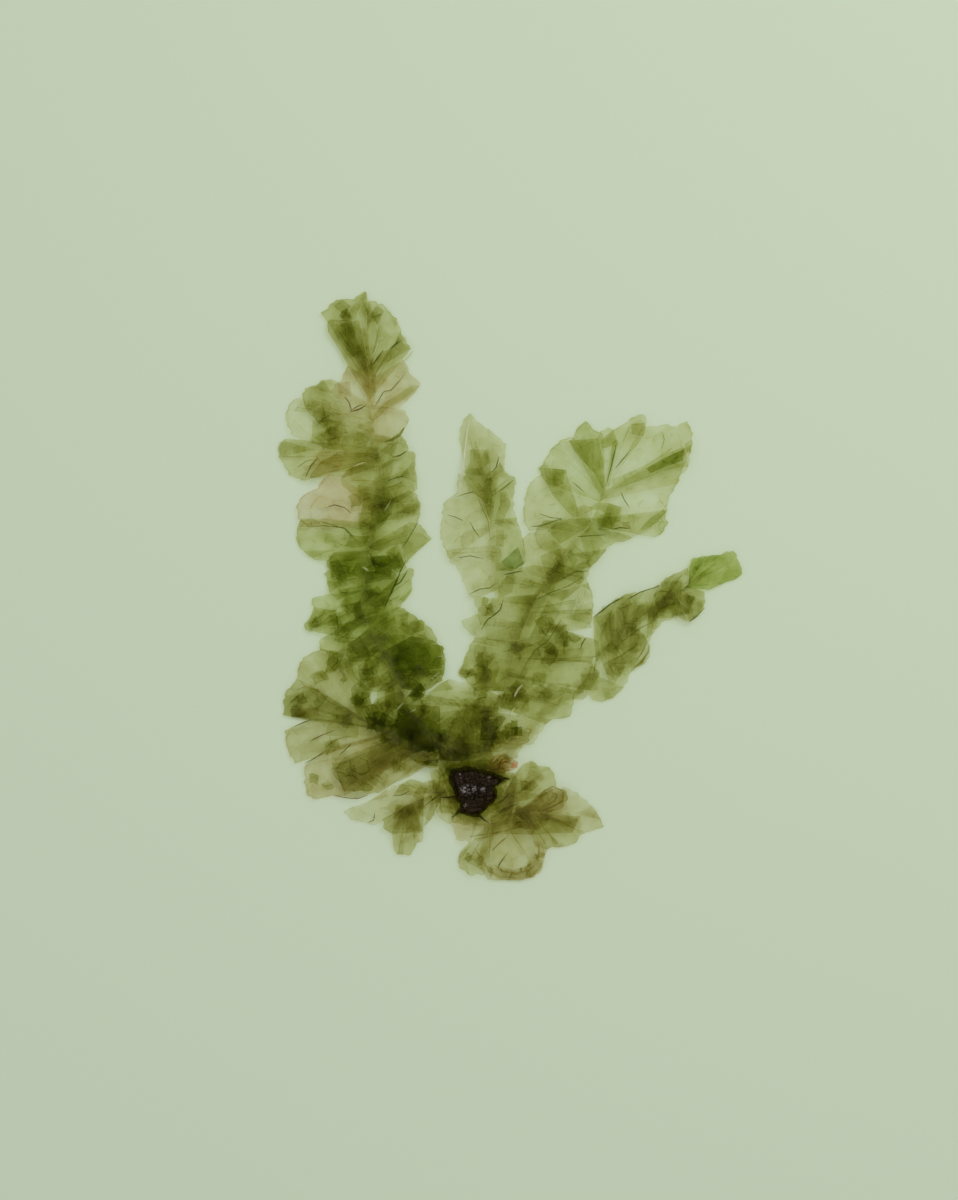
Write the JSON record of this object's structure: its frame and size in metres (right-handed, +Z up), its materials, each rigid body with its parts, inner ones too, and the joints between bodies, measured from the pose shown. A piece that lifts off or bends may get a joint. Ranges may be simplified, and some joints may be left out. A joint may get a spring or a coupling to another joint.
{
  "type": "sea lettuce",
  "caption": "Dried sea lettuce lying flat: ruffled ribbon fronds of thin overlapping lobes spread from a dark knobbly holdfast, with a scrap of red weed caught beside it.",
  "frame": {"origin": "centre of the plan bounding box, on the plane that the plant lies on", "axes": "+Z up out of that plane, towards the viewer; +Y from the holdfast's end to the tip of the tall left frond; +X towards the right arm"},
  "size_m": [0.1496, 0.19, 0.0056],
  "materials": {
    "holdfast": "satin",
    "frond_low_left": "satin",
    "frond_under_left": "satin",
    "frond_under_right": "satin",
    "frond_right_arm": "satin",
    "frond_centre": "satin",
    "frond_left_tall": "satin",
    "red_weed_scrap": "satin"
  },
  "bodies": {
    "root": {"holdfast": "holdfast", "frond_low_left": "frond_low_left", "frond_under_left": "frond_under_left", "frond_under_right": "frond_under_right", "frond_right_arm": "frond_right_arm", "frond_centre": "frond_centre", "frond_left_tall": "frond_left_tall", "red_weed_scrap": "red_weed_scrap"}
  },
  "joints": []
}
